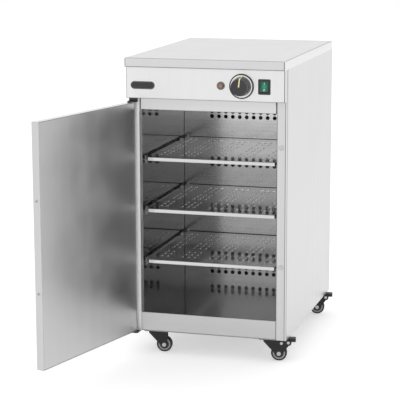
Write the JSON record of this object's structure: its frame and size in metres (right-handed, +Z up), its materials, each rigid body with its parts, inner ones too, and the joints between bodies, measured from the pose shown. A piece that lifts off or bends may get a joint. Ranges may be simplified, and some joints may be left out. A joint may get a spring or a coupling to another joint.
{
  "type": "plate dispenser cart",
  "caption": "Heated plate cabinet of brushed steel on braked swivel castors, with a swing door, perforated sliding shelves and a control strip with knob, lamp and rocker switch.",
  "frame": {"origin": "centre of the body's underside, between the castors", "axes": "+Z up, front with the door opening faces -Y, +X to the right seen from the front; the door hangs on the left and stands open at rest"},
  "size_m": [0.6077, 1.0612, 0.848],
  "materials": {
    "outer_sheet": "satin brushed",
    "inner_sheet": "polished",
    "insulation": "matte fibre",
    "badge_plastic": "gloss, blank",
    "black_plastic": "satin",
    "lamp_chrome": "polished",
    "lamp_lens": "gloss, translucent",
    "rocker_green": "gloss, lit",
    "bright_steel": "bright plated",
    "fork_black": "satin black",
    "wheel_grey": "satin",
    "tyre_black": "matte rubber"
  },
  "bodies": {
    "cabinet": {"lid": "outer_sheet", "control_fascia": "outer_sheet", "header_rail": "outer_sheet", "bottom_rail": "outer_sheet", "stile_left": "outer_sheet", "stile_right": "outer_sheet", "side_panel_left": "outer_sheet", "side_panel_right": "outer_sheet", "liner_left": "inner_sheet", "liner_right": "inner_sheet", "liner_back": "inner_sheet", "liner_ceiling": "inner_sheet", "floor_deck": "inner_sheet", "base_pan": "outer_sheet", "back_panel": "outer_sheet", "side_insulation": "insulation", "badge_plate": "badge_plastic", "lamp_bezel": "lamp_chrome", "lamp_lens": "lamp_lens", "dial_bezel": "black_plastic", "thermostat": "black_plastic", "thermostat_bulb": "bright_steel", "switch_frame": "black_plastic", "heating_element": "bright_steel", "element_brackets": "bright_steel", "cable_gland": "black_plastic", "hinge_brackets": "bright_steel", "door_catches": "bright_steel", "shelf_clips": "inner_sheet", "panel_fasteners": "bright_steel", "castor_stems": "bright_steel"},
    "door": {"door_outer_skin": "outer_sheet", "door_inner_panel": "inner_sheet", "door_core": "insulation", "door_edge_screws": "bright_steel", "door_handle": "bright_steel", "hinge_bushes": "black_plastic"},
    "thermostat_knob": {"dial_knob": "black_plastic"},
    "rocker": {"switch_rocker": "rocker_green"},
    "top_shelf": {"shelf_top": "inner_sheet"},
    "middle_shelf": {"shelf_middle": "inner_sheet"},
    "bottom_shelf": {"shelf_bottom": "inner_sheet"},
    "fork_front_left": {"castor_fork_front_left": "fork_black", "castor_bolts_front_left": "bright_steel"},
    "wheel_front_left": {"castor_wheel_front_left": "wheel_grey", "castor_tyre_front_left": "tyre_black"},
    "fork_front_right": {"castor_fork_front_right": "fork_black", "castor_bolts_front_right": "bright_steel"},
    "wheel_front_right": {"castor_wheel_front_right": "wheel_grey", "castor_tyre_front_right": "tyre_black"},
    "brake_front_right": {"brake_pedal_front_right": "fork_black"},
    "fork_rear_left": {"castor_fork_rear_left": "fork_black", "castor_bolts_rear_left": "bright_steel"},
    "wheel_rear_left": {"castor_wheel_rear_left": "wheel_grey", "castor_tyre_rear_left": "tyre_black"},
    "fork_rear_right": {"castor_fork_rear_right": "fork_black", "castor_bolts_rear_right": "bright_steel"},
    "wheel_rear_right": {"castor_wheel_rear_right": "wheel_grey", "castor_tyre_rear_right": "tyre_black"},
    "brake_rear_right": {"brake_pedal_rear_right": "fork_black"}
  },
  "joints": [
    {"name": "door_hinge", "type": "hinge", "parent": "cabinet", "child": "door", "pos_m": [-0.2185, -0.3135, 0.3275], "axis": [0, 0, -1], "range_deg": [-104.5, 65]},
    {"name": "thermostat_turn", "type": "hinge", "parent": "cabinet", "child": "thermostat_knob", "pos_m": [0.1038, -0.3433, 0.7095], "axis": [0, 1, 0], "range_deg": [-7, 263]},
    {"name": "switch_tip", "type": "hinge", "parent": "cabinet", "child": "rocker", "pos_m": [0.1668, -0.327, 0.7095], "axis": [1, 0, 0], "range_deg": [0, 14]},
    {"name": "top_shelf_slide", "type": "slide", "parent": "cabinet", "child": "top_shelf", "axis": [0, -1, 0], "range_m": [0, 0.2]},
    {"name": "middle_shelf_slide", "type": "slide", "parent": "cabinet", "child": "middle_shelf", "axis": [0, -1, 0], "range_m": [0, 0.2]},
    {"name": "bottom_shelf_slide", "type": "slide", "parent": "cabinet", "child": "bottom_shelf", "axis": [0, -1, 0], "range_m": [0, 0.2]},
    {"name": "castor_swivel_front_left", "type": "hinge", "parent": "cabinet", "child": "fork_front_left", "pos_m": [-0.168, -0.265, -0.006], "axis": [0, 0, 1], "continuous": true},
    {"name": "wheel_spin_front_left", "type": "hinge", "parent": "fork_front_left", "child": "wheel_front_left", "pos_m": [-0.13993, -0.26005, -0.0455], "axis": [-0.1736, 0.9848, 0], "continuous": true},
    {"name": "castor_swivel_front_right", "type": "hinge", "parent": "cabinet", "child": "fork_front_right", "pos_m": [0.168, -0.265, -0.006], "axis": [0, 0, 1], "continuous": true},
    {"name": "wheel_spin_front_right", "type": "hinge", "parent": "fork_front_right", "child": "wheel_front_right", "pos_m": [0.19607, -0.26005, -0.0455], "axis": [-0.1736, 0.9848, 0], "continuous": true},
    {"name": "brake_tip_front_right", "type": "hinge", "parent": "fork_front_right", "child": "brake_front_right", "pos_m": [0.22216, -0.25545, -0.0142], "axis": [-0.1736, 0.9848, 0], "range_deg": [0, 14]},
    {"name": "castor_swivel_rear_left", "type": "hinge", "parent": "cabinet", "child": "fork_rear_left", "pos_m": [-0.168, 0.258, -0.006], "axis": [0, 0, 1], "continuous": true},
    {"name": "wheel_spin_rear_left", "type": "hinge", "parent": "fork_rear_left", "child": "wheel_rear_left", "pos_m": [-0.13993, 0.26295, -0.0455], "axis": [-0.1736, 0.9848, 0], "continuous": true},
    {"name": "castor_swivel_rear_right", "type": "hinge", "parent": "cabinet", "child": "fork_rear_right", "pos_m": [0.168, 0.258, -0.006], "axis": [0, 0, 1], "continuous": true},
    {"name": "wheel_spin_rear_right", "type": "hinge", "parent": "fork_rear_right", "child": "wheel_rear_right", "pos_m": [0.19607, 0.26295, -0.0455], "axis": [-0.1736, 0.9848, 0], "continuous": true},
    {"name": "brake_tip_rear_right", "type": "hinge", "parent": "fork_rear_right", "child": "brake_rear_right", "pos_m": [0.22216, 0.26755, -0.0142], "axis": [-0.1736, 0.9848, 0], "range_deg": [0, 14]}
  ]
}
